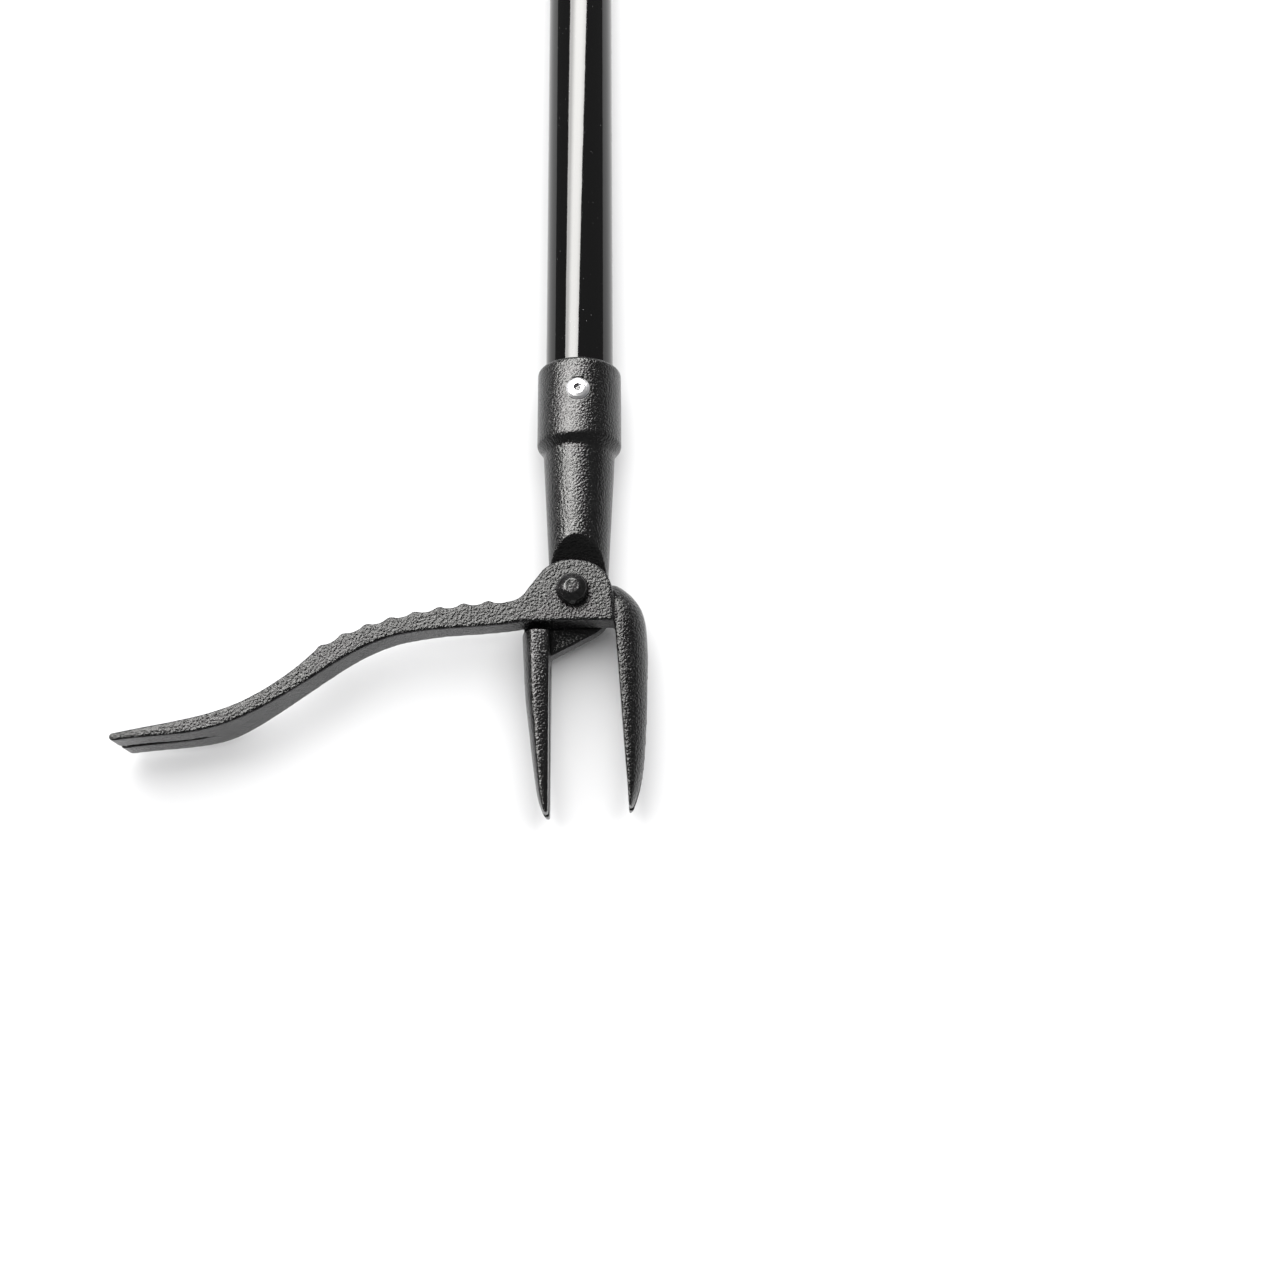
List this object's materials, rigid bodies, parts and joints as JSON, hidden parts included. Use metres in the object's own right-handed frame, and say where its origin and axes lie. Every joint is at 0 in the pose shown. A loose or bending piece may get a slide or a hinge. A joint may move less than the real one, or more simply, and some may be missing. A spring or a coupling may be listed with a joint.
{
  "type": "stand-up weed puller",
  "caption": "Long-handled weeding claw: a gloss black screw-together pole, a cast socket head with a fixed forked claw, and a pivoting foot lever that closes the opposing forked claw.",
  "frame": {"origin": "middle of the underside of the whole tool as it lies on its back", "axes": "+Y up the pole from the claws to the handle, -X towards the foot lever's pedal, +Z along the pivot bolt towards its domed head"},
  "size_m": [0.2064, 1.0248, 0.0373],
  "materials": {
    "cast_black": "black powder coat over a sand-cast skin, semi-gloss, pebbled",
    "bolt_black": "black paint over a forged head, semi-gloss",
    "steel_zinc": "zinc-plated steel, satin",
    "rivet_bright": "bright aluminium, satin",
    "rivet_stem": "broken steel stem, dull",
    "tube_gloss_black": "high-gloss black enamel on steel tube",
    "joint_satin_black": "satin black enamel on turned steel",
    "grip_rubber": "matt black rubber, ribbed",
    "cap_plastic": "matt black moulded plastic"
  },
  "bodies": {
    "pole_and_head": {"head_casting": "cast_black", "pivot_bolt": "bolt_black", "thrust_washer": "steel_zinc", "nut_washer": "steel_zinc", "pivot_nut": "steel_zinc", "socket_rivet": "rivet_bright", "rivet_mandrel": "rivet_stem", "lower_tube": "tube_gloss_black", "middle_tube": "tube_gloss_black", "upper_tube": "tube_gloss_black", "lower_joint_socket": "joint_satin_black", "lower_joint_stud": "joint_satin_black", "upper_joint_socket": "joint_satin_black", "upper_joint_stud": "joint_satin_black", "handle_grip": "grip_rubber", "end_cap": "cap_plastic"},
    "foot_lever": {"lever_casting": "cast_black"}
  },
  "joints": [
    {"name": "lever_pivot", "type": "hinge", "parent": "pole_and_head", "child": "foot_lever", "pos_m": [0.07369, -0.42555, 0.0174], "axis": [0, 0, -1], "range_deg": [-5, 20]}
  ]
}
